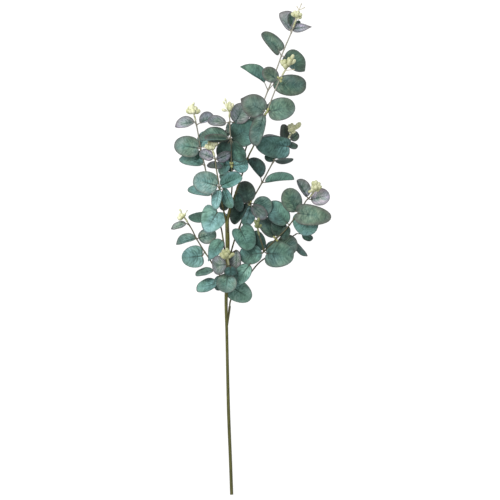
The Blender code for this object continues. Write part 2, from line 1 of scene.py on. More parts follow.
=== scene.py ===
"""A cut sprig of round-leaved eucalyptus with pale gum-nut bud heads, lying on a white table.

Routes and leaves are in millimetres and degrees. The cut end points to -Y, the tip to +Y, and +Z is up.
"""
import math
import random
from collections import namedtuple

import bmesh
import bpy
from mathutils import Matrix, Vector


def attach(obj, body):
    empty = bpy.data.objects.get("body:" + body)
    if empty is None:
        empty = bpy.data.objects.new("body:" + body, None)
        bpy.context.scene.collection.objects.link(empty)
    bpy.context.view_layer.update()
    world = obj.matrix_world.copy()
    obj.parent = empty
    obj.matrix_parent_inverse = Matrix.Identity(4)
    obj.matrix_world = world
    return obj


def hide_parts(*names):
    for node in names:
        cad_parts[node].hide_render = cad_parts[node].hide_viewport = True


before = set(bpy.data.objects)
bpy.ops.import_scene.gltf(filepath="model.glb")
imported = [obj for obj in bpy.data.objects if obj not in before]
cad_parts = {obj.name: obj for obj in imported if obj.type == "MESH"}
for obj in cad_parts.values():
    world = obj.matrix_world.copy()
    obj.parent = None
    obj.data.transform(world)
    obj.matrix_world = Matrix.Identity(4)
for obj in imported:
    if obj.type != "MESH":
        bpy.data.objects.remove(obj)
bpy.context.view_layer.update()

# Camera, table and light. The sprig lies on a white table and is seen from straight above with a long lens.
# The sky is an even white, and one soft lamp stands at the upper left. The table glows like a light box, so
# the sprig throws no shadow on it. Places and sizes here are in metres.
WHITE = (1, 1, 1, 1)
LENS_HEIGHT = 5.545
LENS_ASIDE = -0.002
LENS_FOCAL_MM = 300
LENS_SENSOR_MM = 36
LENS_REACH = 50
SKY_STRENGTH = 0.7
LAMP_PLACE = Vector((-0.9, 0.9, 1.6))
LAMP_WIDTH = 1.2
LAMP_WATTS = 40
TABLE_HALF_WIDTH = 6
TABLE_GREY = (0.06, 0.06, 0.06, 1)
TABLE_ROUGHNESS = 0.9
TABLE_GLOW = 1.0

camera_data = bpy.data.cameras.new("overhead_camera")
camera_data.lens = LENS_FOCAL_MM
camera_data.sensor_width = LENS_SENSOR_MM
camera_data.clip_end = LENS_REACH
camera = bpy.data.objects.new("overhead_camera", camera_data)
camera.location = (LENS_ASIDE, 0, LENS_HEIGHT)
bpy.context.scene.collection.objects.link(camera)
bpy.context.scene.camera = camera
bpy.context.scene.view_settings.view_transform = "Standard"
bpy.context.scene.view_settings.look = "None"

sky = bpy.data.worlds.new("white_sky")
sky.use_nodes = True
sky.node_tree.nodes["Background"].inputs["Color"].default_value = WHITE
sky.node_tree.nodes["Background"].inputs["Strength"].default_value = SKY_STRENGTH
bpy.context.scene.world = sky

lamp_data = bpy.data.lights.new("soft_lamp", "AREA")
lamp_data.shape = "DISK"
lamp_data.size = LAMP_WIDTH
lamp_data.energy = LAMP_WATTS
lamp = bpy.data.objects.new("soft_lamp", lamp_data)
lamp.location = LAMP_PLACE
lamp.rotation_euler = (-LAMP_PLACE).to_track_quat("-Z", "Y").to_euler()
bpy.context.scene.collection.objects.link(lamp)

table_bm = bmesh.new()
bmesh.ops.create_grid(table_bm, x_segments=1, y_segments=1, size=TABLE_HALF_WIDTH)
table_mesh = bpy.data.meshes.new("table_top")
table_bm.to_mesh(table_mesh)
table_bm.free()
table_top = bpy.data.objects.new("table_top", table_mesh)
table_finish = bpy.data.materials.new("white_table")
table_finish.use_nodes = True
table_shader = table_finish.node_tree.nodes["Principled BSDF"]
table_shader.inputs["Base Color"].default_value = TABLE_GREY
table_shader.inputs["Roughness"].default_value = TABLE_ROUGHNESS
table_shader.inputs["Emission Color"].default_value = WHITE
table_shader.inputs["Emission Strength"].default_value = TABLE_GLOW
table_mesh.materials.append(table_finish)
bpy.context.scene.collection.objects.link(table_top)


# Main stem. One woody olive shoot, cut square at its foot and bare over its lower half. Each side stem grows
# out of a short collar on it. The bark is waxy, with fine streaks along it and small pale pores.
class Value:
    """A number or colour in a shader, which can be added to, multiplied and so on."""

    def __init__(self, finish, socket):
        self.finish = finish
        self.socket = socket

    def __add__(self, other):
        return self.finish.node("ShaderNodeMath", {"operation": "ADD"}, {0: self, 1: other})

    def __sub__(self, other):
        return self.finish.node("ShaderNodeMath", {"operation": "SUBTRACT"}, {0: self, 1: other})

    def __rsub__(self, other):
        return self.finish.node("ShaderNodeMath", {"operation": "SUBTRACT"}, {0: other, 1: self})

    def __mul__(self, other):
        return self.finish.node("ShaderNodeMath", {"operation": "MULTIPLY"}, {0: self, 1: other})

    def __abs__(self):
        return self.finish.node("ShaderNodeMath", {"operation": "ABSOLUTE"}, {0: self})

    __radd__ = __add__
    __rmul__ = __mul__

    def rise(self, low, high):
        """0 below low and 1 above high, with a smooth step between."""
        return self.finish.node("ShaderNodeMapRange", {"interpolation_type": "SMOOTHSTEP"},
                                {"Value": self, "From Min": low, "From Max": high})


class Finish:
    """One material and the nodes that make it."""

    def __init__(self, name, roughness, specular):
        self.material = bpy.data.materials.new(name)
        self.material.use_nodes = True
        self.tree = self.material.node_tree
        self.shader = self.tree.nodes["Principled BSDF"]
        self.shader.inputs["Roughness"].default_value = roughness
        self.shader.inputs["Specular IOR Level"].default_value = specular

    def node(self, kind, settings, sockets, out=0):
        made = self.tree.nodes.new(kind)
        for name, setting in settings.items():
            setattr(made, name, setting)
        for key, given in sockets.items():
            self.feed(made.inputs[key], given)
        return Value(self, made.outputs[out])

    def feed(self, socket, given):
        if isinstance(given, Value):
            self.tree.links.new(given.socket, socket)
        elif isinstance(given, tuple) and len(given) == 3 and socket.type == "RGBA":
            socket.default_value = (*given, 1)
        else:
            socket.default_value = given

    def mix(self, share, first, second, how="MIX"):
        return self.node("ShaderNodeMix", {"data_type": "RGBA", "blend_type": how, "clamp_factor": True},
                         {0: share, 6: first, 7: second}, out=2)

    def place(self):
        return self.node("ShaderNodeTexCoord", {}, {}, out="Object")

    def stretched(self, scale):
        return self.node("ShaderNodeMapping", {}, {"Vector": self.place(), "Scale": scale})

    def cloud(self, where, scale, detail=3.0):
        return self.node("ShaderNodeTexNoise", {},
                         {"Vector": where, "Scale": scale, "Detail": detail}, out="Fac")

    def bump(self, height, distance, strength):
        return self.node("ShaderNodeBump", {}, {"Height": height, "Distance": distance, "Strength": strength})

    def painted(self, layer):
        """The three channels and the alpha of a piece's own paint layer."""
        layer_colour = self.node("ShaderNodeAttribute", {"attribute_name": layer}, {}, out="Color")
        split = self.node("ShaderNodeSeparateColor", {}, {"Color": layer_colour})
        under = Value(self, layer_colour.socket.node.outputs["Alpha"])
        return [Value(self, out) for out in split.socket.node.outputs] + [under]


class Route:
    """A smooth line through points given in millimetres, with an even frame carried along it."""

    STEPS = 12

    def __init__(self, points):
        ends = [Vector(p) for p in points]
        ends = [2 * ends[0] - ends[1], *ends, 2 * ends[-1] - ends[-2]]
        self.dots = [ends[1]]
        for before, start, end, after in zip(ends, ends[1:], ends[2:], ends[3:]):
            for step in range(1, self.STEPS + 1):
                t = step / self.STEPS
                self.dots.append(0.5 * (2 * start + t * (end - before)
                                        + t * t * (2 * before - 5 * start + 4 * end - after)
                                        + t ** 3 * (3 * start - before - 3 * end + after)))
        self.way = [0.0]
        for here, there in zip(self.dots, self.dots[1:]):
            self.way.append(self.way[-1] + (there - here).length)
        self.length = self.way[-1]
        self.node_way = self.way[::self.STEPS]
        self.frames = []
        across = None
        for k in range(len(self.dots)):
            along = self.dots[min(k + 1, len(self.dots) - 1)] - self.dots[max(k - 1, 0)]
            along.normalize()
            if across is None:
                across = along.orthogonal()
            across = (across - across.dot(along) * along).normalized()
            self.frames.append((across.copy(), along.cross(across)))

    def place(self, way):
        """The matrix at a distance along the line, its third axis pointing onwards."""
        k = 0
        while k < len(self.way) - 2 and self.way[k + 1] < way:
            k += 1
        t = (way - self.way[k]) / (self.way[k + 1] - self.way[k])
        spot = self.dots[k].lerp(self.dots[k + 1], t)
        first = self.frames[k][0].lerp(self.frames[k + 1][0], min(max(t, 0), 1)).normalized()
        onward = (self.dots[k + 1] - self.dots[k]).normalized()
        first = (first - first.dot(onward) * onward).normalized()
        second = onward.cross(first)
        made = Matrix((first, second, onward)).transposed().to_4x4()
        made.translation = spot
        return made


def round_rod(bm, route, profile, sides, paint):
    """A closed rod on a route. Its profile lists (distance along, radius), and paint colours each ring."""
    layer = bm.verts.layers.float_color.get("paint") or bm.verts.layers.float_color.new("paint")
    way, radius = profile[0]
    place = route.place(way)
    ring = bmesh.ops.create_circle(bm, segments=sides, radius=radius, matrix=place, cap_ends=True)["verts"]
    for vert in ring:
        vert[layer] = paint(way)
    edges = [e for e in bm.edges if all(v in ring for v in e.verts)]
    for next_way, next_radius in profile[1:]:
        grown = bmesh.ops.extrude_edge_only(bm, edges=edges)["geom"]
        ring = [v for v in grown if isinstance(v, bmesh.types.BMVert)]
        edges = [e for e in grown if isinstance(e, bmesh.types.BMEdge)]
        next_place = route.place(next_way)
        bmesh.ops.transform(bm, verts=ring,
                            matrix=next_place @ Matrix.Scale(next_radius / radius, 4) @ place.inverted())
        for vert in ring:
            vert[layer] = paint(next_way)
        place, radius = next_place, next_radius
    bmesh.ops.contextual_create(bm, geom=edges)


MM = 0.001


def finished(name, bm, finish, nodes, crease=40):
    """The bmesh, made in millimetres, as a piece that stands for CAD nodes."""
    bmesh.ops.recalc_face_normals(bm, faces=bm.faces)
    bmesh.ops.scale(bm, vec=(MM, MM, MM), verts=bm.verts)
    for face in bm.faces:
        face.smooth = True
    mesh = bpy.data.meshes.new(name)
    bm.to_mesh(mesh)
    bm.free()
    mesh.set_sharp_from_angle(angle=math.radians(crease))
    mesh.materials.append(finish.material)
    made = bpy.data.objects.new(name, mesh)
    bpy.context.scene.collection.objects.link(made)
    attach(made, "root")
    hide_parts(*nodes)
    return made


TRUNK_SIDES = 20
RING_STEP = 3
COLLAR_RADIUS = 1.65
COLLAR_SIDES = 12
COLLAR_LIP_RADIUS = 1.0
PEG_DEPTH = 4.0
FIT_GAP = 0.3

# The collar's outline, as shares of its length and radius. Its mouth is given by distances back from its end.
COLLAR_SHAPE = [(0, 0.9), (0.35, 0.92), (0.7, 0.95)]
COLLAR_MOUTH = [(0.9, 1), (0.2, 0.93)]

# Where a leaf grows: the stem point `node`, the foot of its blade (x, y) and its lift above that point. Tone
# runs from dark to light; it holds the leaf's own colour and also painted shade, darker for a leaf that lies
# in shadow. Blush runs from green to grey-purple. Heading 0 points right, pitch raises the tip, roll raises
# the left half, fold closes the halves and curl bends the tip down. Egg widens the tip, lobe sets the ears
# back and point draws out the tip. Side buds are (node, x, y, z of the tip from the node, radius).
Leaf = namedtuple("Leaf", "node x y lift length width tone blush heading pitch roll fold curl egg lobe point",
                  defaults=(0, 0, 0, 8, 12, 0.0, 0, 0))
Spray = namedtuple("Spray", "name carrier sleeve route leaves side_buds")

TRUNK_ROUTE = [
    (-26.4, -325.4, 2.25), (-27.9, -282, 4), (-30.4, -218, 10), (-31.6, -168, 16),
    (-32.8, -106, 25), (-33.6, -73, 30), (-33, -40, 35), (-31.8, -10, 40), (-31.7, 15, 44),
    (-32.2, 36, 47), (-30.8, 44.5, 49), (-29, 52, 51)]
TRUNK_RADII = [2.2, 2.2, 2.25, 2.1, 2, 2.2, 2.45, 2.75, 2.9, 2.6, 2.2, 1.9]

SPRAYS = [
    Spray("spray_top", "main_stem", 7.0, [
        (-29, 52, 51), (-25.7, 62, 52.5), (-20.5, 76.6, 53.5), (-11.2, 103, 52), (-7.3, 116.2, 50),
        (-9.2, 125.4, 46), (-5.5, 139.9, 40), (5.9, 170.3, 30), (21.8, 211.6, 20), (33.7, 240.9, 17),
        (39.6, 257.4, 16.5), (52.8, 288.4, 17.5), (54.6, 293.2, 18.5), (56.3, 297.8, 20)], [
        Leaf(6, -3.5, 143, -2, 37.9, 27.7, 0.12, 0.1, 78, -8, 52),
        Leaf(2, -19.6, 75.5, -1, 25.6, 13, 0.1, 0, -79, -4, 0),
        Leaf(8, 17.2, 221.8, 0, 35.9, 29.7, 0.5, 0.15, 147, 8, 46, 40, 12, -0.15, 0, 3),
        Leaf(8, 28.5, 219.2, 0, 48, 29, 0.42, 0.3, 0, -22.5, 6, 14),
        Leaf(10, 36.8, 263.6, 0, 33.8, 29, 0.4, 0.35, 134, 8, 47, 12, 12, -0.15, 6),
        Leaf(10, 43.6, 257, 0, 30.7, 32.8, 0.25, 0.2, -36, -5, -34, 24, 8, 0, 3, 3),
        Leaf(11, 51.9, 291, -1, 28, 31, 0.5, 1, 122, -4, -40, -36, 12, 0.12),
        Leaf(11, 54, 293.4, -1.5, 22, 12, 0.6, 1, 6, 4, -8, 20, 12, -0.3, 0, 4),
        Leaf(12, 53.6, 297, -2, 17.5, 10, 0.3, 0.6, 98, 8, 20),
        Leaf(12, 58.4, 296.5, -2, 9.5, 6.5, 0.2, 0.6, 54, -5, 20)],
        [(6, 3.5, 2.5, 2, 1.3)]),
    Spray("spray_upper_right", "spray_top", 7.0, [
        (-7.3, 116.2, 50), (-2, 128, 56), (3.3, 138.6, 59), (16.5, 171.6, 64), (19.8, 180.8, 65),
        (31, 209.9, 68), (37.6, 224.4, 69), (39.5, 228, 69.4), (41.4, 231.5, 69.8)], [
        Leaf(4, 17.2, 182.2, 1, 31.8, 30.7, 0.31, 0.4, 152, -3, 6, 8, 12, 0, 2, 4),
        Leaf(4, 22.4, 181.2, 0, 36, 30, 0.36, 0.25, 14, 3, -6, 8, 12, 0, 3),
        Leaf(4, 16.5, 178, 2.5, 43, 27, 0.42, 0.35, -105, -5, 22, 40),
        Leaf(4, 21, 182.5, -1, 10.2, 7.2, 0.15, 0.1, 80, -20, 30),
        Leaf(6, 34.3, 223.5, 0, 23.6, 19.5, 0.32, 0.55, 145, 5, 8)],
        [(6, -4, 3.5, 1.5, 1.6), (6, 1.5, -4, 2, 1.7), (6, 3, 2.5, 2.5, 1.6), (4, 3, 6, 2, 1.7),
         (4, -3, -3.5, 2, 1.6), (4, 1, 0.5, 4, 1.7)]),
    Spray("spray_centre", "main_stem", 10.0, [
        (-31.8, 24, 45.2), (-31.8, 27, 52), (-31.2, 39, 57), (-29.5, 53, 58.5), (-27, 68, 59),
        (-25.7, 83, 59.5), (-25.7, 99, 61), (-26.3, 112.2, 64), (-26.8, 132, 70), (-27.3, 145.2, 73),
        (-28.4, 158.4, 75), (-28.4, 168.3, 77), (-28.7, 172.5, 77.7), (-28.9, 176, 78.5)], [
        Leaf(7, -27.5, 112, 0, 26.6, 24.6, 0.4, 0, 187, -50, 10),
        Leaf(7, -25, 110.9, 0, 21.5, 23.6, 0.6, 0, 8, -14, -12),
        Leaf(9, -31.4, 145.9, 0, 35.9, 31.5, 0.45, 0.2, 182, 2, 42, 40, 12, -0.1, 0, 2),
        Leaf(9, -30.5, 149.5, -2.5, 9.2, 7.2, 0.1, 0.1, 120, -10, 20),
        Leaf(9, -27.5, 147.5, -8, 46, 20, 0.12, 0, -91, -16, 0),
        Leaf(6, -28, 97, -5, 15, 14, 0.05, 0, 172, -16, 10),
        Leaf(11, -29.5, 167, -1.5, 14.3, 6.1, 0.5, 0.7, 262, -10, 0),
        Leaf(9, -29.8, 142.2, 0, 28.7, 20.5, 0.1, 0, -120, -30, 20),
        Leaf(9, -25.5, 142.6, 0, 30.7, 25.6, 0.2, 0.05, -62, -12, 35),
        Leaf(9, -25.2, 147, -12, 36.5, 37, 0.3, 0.05, 30, -8, 6, 6, 12, -0.1, 2),
        Leaf(11, -33.5, 166.8, 0, 24.4, 22.5, 0.52, 0.9, 174, 4, 50),
        Leaf(11, -21.5, 167.5, -14, 28, 26, 0.65, 0.75, 62, -3, 8),
        Leaf(9, -30, 146, 4, 32, 11, 0.22, 0.5, 177, 0, 0)],
        [(7, 0.5, -4, 2.5, 1.6), (7, -2, 3.5, 2, 1.5), (7, 2, 3, 2.5, 1.4)]),
    Spray("spray_left_centre", "main_stem", 11.0, [
        (-32.8, 36, 47), (-35.6, 47.5, 54), (-38.3, 58.1, 61), (-40.3, 67.3, 67), (-41.8, 79.2, 71),
        (-43.2, 88.4, 72), (-46.5, 108.2, 74), (-47.5, 118.8, 75), (-48.4, 122, 75.2), (-49.3, 125.5, 75)], [
        Leaf(4, -42.4, 79.5, -0.5, 26.5, 22.5, 0.65, 0.1, -99, 4, 54),
        Leaf(4, -36, 80.8, 0, 27.7, 22.5, 0.6, 0.05, -67, 5, 52),
        Leaf(4, -40.5, 84, 1, 30.7, 27.7, 0.6, 0, 24, 0, -14, 44),
        Leaf(4, -45, 84.5, 1, 32.8, 29.7, 0.6, 0.25, 165, 0, 4, 8, 12, 0, 3),
        Leaf(2, -37.4, 51.8, -2.4, 17.2, 14, 0.1, 0.3, 82, -13, 12),
        Leaf(7, -50.2, 120.6, -2, 19.5, 19, 0.7, 0.9, 158, 2, 40),
        Leaf(7, -46, 119, 1, 20.5, 18.4, 0.55, 0.9, 25, -5, 48),
        Leaf(7, -48.2, 116.5, -1, 22.5, 19.5, 0.55, 0.85, -95, -66, 0)], []),
    Spray("spray_left", "main_stem", 10.5, [
        (-32.3, -14, 39.5), (-34.6, -6, 34.8), (-36.8, 9, 33.5), (-39.6, 26.4, 33.5), (-41.6, 33, 33),
        (-45.5, 48.8, 32), (-52.1, 71.3, 26), (-58.1, 92.4, 21), (-62.2, 112.2, 17), (-67.3, 134.6, 16),
        (-70.6, 153.1, 17), (-72.9, 165.7, 18), (-73.8, 170, 18.5), (-74.7, 174, 19.2)], [
        Leaf(2, -38.8, 13, 2, 28.7, 24.6, 0.5, 0.05, -124, -5, 44, 8, 12, -0.2, 0, 5),
        Leaf(5, -45.2, 50, 4, 29.7, 34.8, 0.74, 0.05, -120, 4, 16, 10, 12, -0.25, 8, 2),
        Leaf(5, -50.8, 47.5, -4, 33.4, 23.5, 0.5, 0.05, 188, -6, -56),
        Leaf(6, -53.5, 74, 0, 31.8, 24.6, 0.55, 0.1, 169, 0, 58),
        Leaf(8, -65, 113.5, 0, 34, 26, 0.5, 0.1, 163, -22, 50),
        Leaf(9, -70.3, 135, 0, 32.8, 28, 0.55, 0.35, 172, 6, 8, 8, 12, 0, 3),
        Leaf(9, -68.5, 131.5, -1, 12.3, 12.3, 0.35, 0.1, -100, -30, 20),
        Leaf(11, -68.5, 168.5, 0, 21, 22, 0.5, 0.9, 20, 4, -38, 40),
        Leaf(11, -76, 170.6, 0, 24.6, 22.5, 0.7, 0.85, 196, 2, 47, 18, 12, 0, 0, 2),
        Leaf(9, -69, 136.5, -2, 23, 15, 0.6, 0.1, 66, -4, 0)], []),
    Spray("spray_lower_left", "main_stem", 11.0, [
        (-33.2, -50, 33.5), (-39, -38.3, 33), (-50.8, -19.8, 30), (-56.8, -9.9, 28), (-62, -2.6, 26),
        (-72.6, 14.5, 22), (-78.5, 26.4, 21), (-82.5, 33, 20), (-84.3, 36, 20.2), (-86, 38.8, 20.6)], [
        Leaf(1, -45, -44.2, 0, 29.7, 26.6, 0.5, 0.1, 196, -10, 52),
        Leaf(1, -42.5, -34, -2, 20, 13.3, 0.3, 0.2, -95, -6, 0),
        Leaf(2, -50.6, -26.8, -1, 24.6, 19.5, 0.4, 0.2, 195, 0, 60),
        Leaf(4, -65, -7.8, 0, 27.7, 29.3, 0.62, 0.1, 187, 2, 6, 8, 12, -0.1, 4),
        Leaf(5, -73.6, 15.2, 0, 25.6, 20.5, 0.5, 0.25, 197, 0, 42, 38, 12, 0, 0, 2),
        Leaf(5, -70.4, 15.8, 0, 24.6, 24.6, 0.75, 0.3, 18, 2, 36),
        Leaf(7, -86.8, 35.2, -1.5, 19.5, 19.5, 0.55, 0.6, 200, 0, 62, 8, 12, 0, 0, 2)], []),
    Spray("spray_front_low", "main_stem", 8.0, [
        (-32.8, -36, 35.5), (-31, -32, 44), (-30, -27, 54), (-29.8, -22, 62), (-30.2, -17.5, 67.5)], [
        Leaf(1, -31, -31, 5, 25.6, 26.6, 0.5, 0.25, -98, 4, 0),
        Leaf(1, -27, -22, 3, 22, 17, 0.2, 0, -84, 2, 0, 10),
        Leaf(3, -33, -19, 0, 23.6, 25, 0.35, 0.8, 186, -36, 0),
        Leaf(3, -27.8, -21.4, 1.5, 15, 17, 0.16, 0, -88, -32, 0)], []),
    Spray("spray_upper_middle", "main_stem", 12.0, [
        (-32.5, -20, 38.6), (-27.5, -4, 33.5), (-22.4, 13.2, 35), (-15.8, 30.4, 36), (-9.9, 47.5, 37),
        (-2, 62, 38), (5.9, 75.2, 38), (13.9, 89.1, 38), (27.7, 114.8, 37), (36.3, 129.4, 36),
        (44.9, 141.2, 36), (47, 144.5, 36.5), (49, 148, 37.2)], [
        Leaf(1, -20, 0, 0, 24.6, 20.5, 0.6, 0.85, -89, 5, 42, 12, 8, 0.2),
        Leaf(3, -15.2, 27.5, 4, 30.5, 33, 0.5, 0, -64, 2, -30, 10, 10, -0.05, 8),
        Leaf(5, -3.5, 62.5, 1, 29.7, 25.6, 0.1, 0.25, 108, 5, 10),
        Leaf(5, -9.2, 61, 2, 30.7, 27.7, 0.08, 0.2, -118, 5, 18, 44, 12, -0.1, 4),
        Leaf(5, -1.2, 58.5, 0, 27.7, 23.5, 0.72, 0, -106, -5, -42),
        Leaf(5, 2.3, 61.2, 0, 25.6, 27.7, 0.45, 0.2, -16, 0, 8),
        Leaf(5, 0.8, 58.4, 4, 25, 17, 0.28, 0.75, -41, 0, 0),
        Leaf(7, 12.3, 95.5, 0, 29.7, 30.7, 0.08, 0, 130, 2, 46, 40),
        Leaf(7, 18, 89.2, 0, 38.9, 22.5, 0.4, 0, 6, 2, -46, 40),
        Leaf(8, 29.8, 118, 0.4, 14.5, 15, 0.03, 0.1, 138, -22, 20),
        Leaf(8, 31, 118, 0, 24.6, 19.5, 0.03, 0.1, 5, 0, 70),
        Leaf(10, 49.5, 137, 1, 45.1, 34.8, 0.45, 0.05, 174, 6, -24, 24, 8, -0.15, 6),
        Leaf(10, 44, 142.5, -1, 30.7, 24.6, 0.6, 0.75, 165, -10, 70),
        Leaf(10, 43, 144, 0, 22.5, 20.5, 0.05, 0.6, 92, 2, 52),
        Leaf(10, 52, 146, -3, 14.3, 12.3, 0.35, 0.7, 42, -22, 20),
        Leaf(10, 48.8, 140.8, 0, 13.3, 12.3, 0.3, 0.6, -20, 0, 48)],
        [(5, 2, 3, 2, 1.4), (5, -2.5, -4, 2, 1.4)]),
    Spray("spray_right", "main_stem", 10.0, [
        (-33.3, -58, 32.5), (-15.2, -33, 30), (0.7, -15.8, 29), (16.5, -2, 29), (32.3, 14.5, 33),
        (42.9, 24.4, 35), (50.4, 33.4, 37), (65.3, 54.1, 41), (71.9, 64.7, 43), (75, 67.8, 43.7),
        (77, 70, 44.7), (79, 72.4, 46)], [
        Leaf(2, -2.3, -19.5, 12.5, 31.8, 21.5, 0.6, 0, -128, 4, 8, 16),
        Leaf(1, -19, -30.5, -5, 24.6, 22.5, 0.15, 0, 134, -4, 0),
        Leaf(3, 14, -4, 4, 30.7, 26.6, 0.42, 0, 188, 0, 8),
        Leaf(3, 15, 0, 0, 27.7, 24.6, 0.08, 0, 112, 6, -40),
        Leaf(3, 20, -4.5, 0, 36.6, 35.4, 0.47, 0.2, -4, -6, 0, 10, 12, -0.1, 6),
        Leaf(4, 30, 17, 0, 33.5, 27.7, 0.2, 0.25, 128, -5, 45),
        Leaf(4, 33.5, 18, -1, 24.6, 22.5, 0.15, 0.15, 80, -15, 20),
        Leaf(6, 49, 31, -1.5, 19, 13.5, 0.05, 0.1, -113, -8, 30),
        Leaf(6, 47.5, 35, 0, 36.9, 27.7, 0.4, 0, 131, -4, -6),
        Leaf(7, 59, 50.5, 0, 33.4, 27, 0.36, 0.3, 112, 8, 4),
        Leaf(7, 61, 48.4, 4, 44.6, 27.5, 0.42, 0.4, -7, 2, 5, 8, 12, -0.14, 8),
        Leaf(7, 68.5, 49.5, -4, 31.5, 34, 0.6, 0.05, -74, -6, 5, 8, 12, -0.05, 5),
        Leaf(9, 78.5, 66.5, -3, 25.6, 23.6, 0.8, 0.85, 14, 2, -18),
        Leaf(9, 73.3, 70.3, 0, 26, 20.5, 0.42, 0.8, 120, 2, 36, 34),
        Leaf(4, 33.5, 8.5, -11, 28, 28, 0.45, 0.35, -8, -3, 0)],
        [(7, 2.5, 4, 2, 1.4), (7, -2.5, -4, 2, 1.3), (4, -3.5, 4, 2, 1.6), (4, 2.5, -3, 2, 1.5)]),
    Spray("spray_lower_right", "main_stem", 28.0, [
        (-32.6, -102, 26), (-29.3, -79.2, 25), (-27.4, -66, 24), (-17.8, -50.2, 23), (-3.3, -33, 21),
        (7.3, -19.8, 19), (16.5, -11.9, 17), (37.6, 1.3, 14), (52.1, 15.8, 13), (60, 21.8, 13)], [
        Leaf(3, -25, -49.8, 3.7, 28.7, 28.7, 0.65, 0.15, -32, -2.5, 0, 10, 10, -0.15, 7),
        Leaf(8, 57.5, 9.5, 0, 22.5, 20.5, 0.1, 0, -47, 0, 66, 8, 12, 0, 0, 2),
        Leaf(9, 67.5, 21.2, 0, 15.4, 13.3, 0.12, 0.1, -26, 0, 44)], []),
    Spray("spray_front_right", "spray_right", 7.0, [
        (16.5, -2, 29), (15.8, 2, 41), (13.8, 8, 49), (11.5, 15, 54.5), (9.6, 21.5, 58)], [], []),
]

# One head of gum-nut buds: the side stem that it caps and the top of its stalk. Each bud is given by its tip
# from there and its radius, and each prong by its start and its end from there. Pale runs from olive to
# cream; a low pale also paints shade over a head that lies in shadow.
BudHead = namedtuple("BudHead", "name carrier x y z pale buds prongs")

BUD_HEADS = [
    BudHead("gum_nuts_top", "spray_top", 60.3, 308.7, 25, 0.82, [
        (-7.5, 5.5, 1, 2.8), (-3.5, 8.5, 2, 2.8), (2, 8.5, 1, 2.7), (6.5, 4.5, 2, 2.8), (6.5, -0.5, 0.5, 2.3),
        (3, -2.5, 3, 2), (-0.5, 3.5, 6.5, 3)],
        [((0, 3, 1), (3, 10, 1.5)), ((2.7, 9, 1.5), (6, 18, 2)), ((2.7, 9, 1.5), (-0.5, 14.5, 1)),
         ((2.7, 9, 1.5), (10.5, 12.5, 3))]),
    BudHead("gum_nuts_upper_right", "spray_upper_right", 45.3, 237.7, 73, 0.72, [
        (-6.5, 12, -1, 3), (-2, 13, 1.5, 3), (2.5, 10, 0, 2.8), (-1.5, 6.5, 4, 3.2), (4.5, 15.5, 2, 2.4),
        (10, 19, 2, 2.6), (12.5, 12.5, 1, 2.6), (6.5, 13, 4, 2.9)],
        [((-1, -2, 0), (11.5, -0.5, 1))]),
    BudHead("gum_nuts_centre", "spray_centre", -28.9, 182.2, 82, 0.85, [
        (-4.5, 10, 1, 2.8), (0, 12.5, 2, 2.9), (4.5, 10.5, 0, 2.6), (1, 6.5, 5, 3), (2, 4, 2, 2.2),
        (-10.5, 2, 1, 2.1), (-8.5, 13, 1, 1.3), (-6, 16.8, 2, 1.4)], []),
    BudHead("gum_nuts_left_centre", "spray_left_centre", -51.5, 132, 73, 0.85, [
        (-4.5, 11.5, 0, 3.3), (-0.5, 12.5, 1, 3), (-9.5, 6, 2, 3.5), (-3, 5.5, 4.5, 3.6), (3.5, 10.5, 2, 2.7),
        (7, 10.5, 3, 2), (2, 4.5, 4, 2.8)],
        [((-2, 1, 1), (-13, 3, 2.5)), ((2, 1.5, 0.5), (10.5, 9.5, 2))]),
    BudHead("gum_nuts_left", "spray_left", -76.9, 181.6, 22, 1, [
        (-10, 4, 0, 3.6), (-6.5, 9.5, 1, 3.4), (-2, 11.5, 2.5, 3.4), (3.5, 9, 1, 3.3), (9, 4, 0, 3.4),
        (0, 4, 6, 3.3), (0, 15, 1, 1.6)], []),
    BudHead("gum_nuts_lower_left", "spray_lower_left", -89.8, 44.5, 22.3, 1, [
        (-8.5, -2.5, 0, 3.8), (-6.5, 3.5, 0, 2.8), (-2, 1.5, 5, 2.6), (-5.5, 10, 1, 1.5), (1.5, 4.5, 1, 2.2)],
        [((0, 0, 0), (5, 8.5, 1))]),
    BudHead("gum_nuts_front_low", "spray_front_low", -31.5, -10, 74, 0.58, [
        (-10.5, 5.5, 0, 3.4), (-8, 2, 2, 3), (-6.5, 10.5, 1, 3.2), (-1, 13, 0, 2.7), (2, 10.5, 1, 2.4),
        (-2, 6.5, 5, 3.3), (9, 6, 1, 2.5), (4.5, 3, 2, 2.5)], []),
    BudHead("gum_nuts_upper_middle", "spray_upper_middle", 53, 155.3, 41, 0.76, [
        (-3.5, 11, 0, 3), (0.5, 12.5, 2, 2.8), (5, 10, 1, 3), (-0.5, 6, 5, 3), (5, 2.5, 1, 2.6),
        (12, 13, 2, 3.4), (-4, 4, 2, 2.3), (2.5, 0, 3, 2)], []),
    BudHead("gum_nuts_right", "spray_right", 83.5, 78.5, 52, 0.78, [
        (-2.5, 12.5, 0, 2.8), (2, 13.5, 1.5, 2.9), (6.5, 11, 0, 3), (9, 6, 1, 2.9), (6, 1.5, 0, 2.5),
        (-4, 6.5, 0, 2.6), (2, 6, 5.5, 3.2), (-5.5, 1, 2, 2.2), (-9, -2, 1, 2)],
        [((0, 0, 0), (-7, -3, 2))]),
    BudHead("gum_nuts_front_right", "spray_front_right", 8, 29.5, 62, 0.05, [
        (1.5, 13.5, 1, 2.1), (-3.5, 10.5, 0, 2.2), (5.5, 4, 1, 2), (-3.5, 3.5, 3, 2.1), (0, 7.5, 4, 2.4)],
        []),
]

